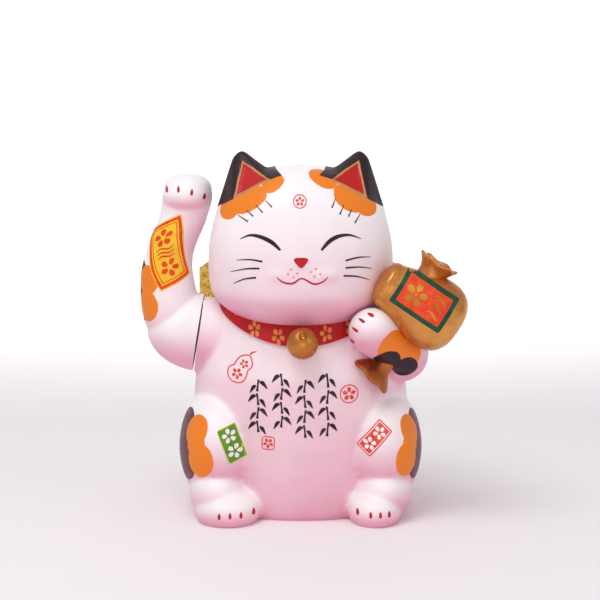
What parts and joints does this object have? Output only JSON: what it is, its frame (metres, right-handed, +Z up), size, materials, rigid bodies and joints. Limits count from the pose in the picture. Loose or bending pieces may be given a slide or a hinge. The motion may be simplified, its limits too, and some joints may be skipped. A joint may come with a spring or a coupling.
{
  "type": "beckoning cat figurine",
  "caption": "Seated beckoning cat figurine with a swinging raised arm, a collar with a bell, and a gold mallet held in the other paw.",
  "frame": {"origin": "on the floor, below the middle of the figurine's overall box", "axes": "+Z up, -Y is the way the cat faces, +X is the cat's left, where the mallet is"},
  "size_m": [0.1717, 0.11, 0.1925],
  "materials": {
    "white_paint": "satin",
    "arm_paint": "satin",
    "collar_paint": "satin",
    "gold_paint": "satin",
    "gold_ribbon": "satin",
    "steel": "satin",
    "magnet_plate": "polished",
    "nylon": "satin",
    "lever_plastic": "satin",
    "copper_wire": "satin",
    "board": "satin",
    "base_plastic": "matte",
    "cell_sleeve": "gloss",
    "red_sheath": "satin",
    "black_sheath": "satin"
  },
  "bodies": {
    "figure": {"body_casting": "white_paint", "head_casting": "white_paint", "collar": "collar_paint", "bell": "gold_paint", "nape_bow": "gold_ribbon", "lucky_mallet": "gold_paint", "mallet_grip": "gold_paint", "outer_bush": "nylon", "inner_bush": "nylon", "drive_frame": "nylon", "coil": "copper_wire", "circuit_board": "board", "frame_screw_1": "steel", "frame_screw_2": "steel", "base_plate": "base_plastic", "battery_cell": "cell_sleeve", "spring_contact": "steel", "plate_contact": "steel", "switch_body": "steel", "base_screw_1": "steel", "base_screw_2": "steel", "base_screw_3": "steel", "plate_lead": "red_sheath", "spring_lead": "black_sheath", "switch_lead": "black_sheath"},
    "arm": {"arm_shell": "arm_paint", "arm_side_cover": "arm_paint", "axle": "steel", "pendulum_lever": "lever_plastic", "counterweight": "steel", "magnet": "magnet_plate", "axle_clip": "steel"},
    "door": {"battery_door": "base_plastic"},
    "knob": {"switch_knob": "base_plastic"}
  },
  "joints": [
    {"name": "arm_swing", "type": "hinge", "parent": "figure", "child": "arm", "pos_m": [-0.0543, 0, 0.0944], "axis": [0.9877, 0, -0.1564], "range_deg": [-20, 20]},
    {"name": "door_hinge", "type": "hinge", "parent": "figure", "child": "door", "pos_m": [0, 0.0082, 0.00305], "axis": [1, 0, 0], "range_deg": [0, 80]},
    {"name": "switch_slide", "type": "slide", "parent": "figure", "child": "knob", "axis": [1, 0, 0], "range_m": [0, 0.003]}
  ]
}
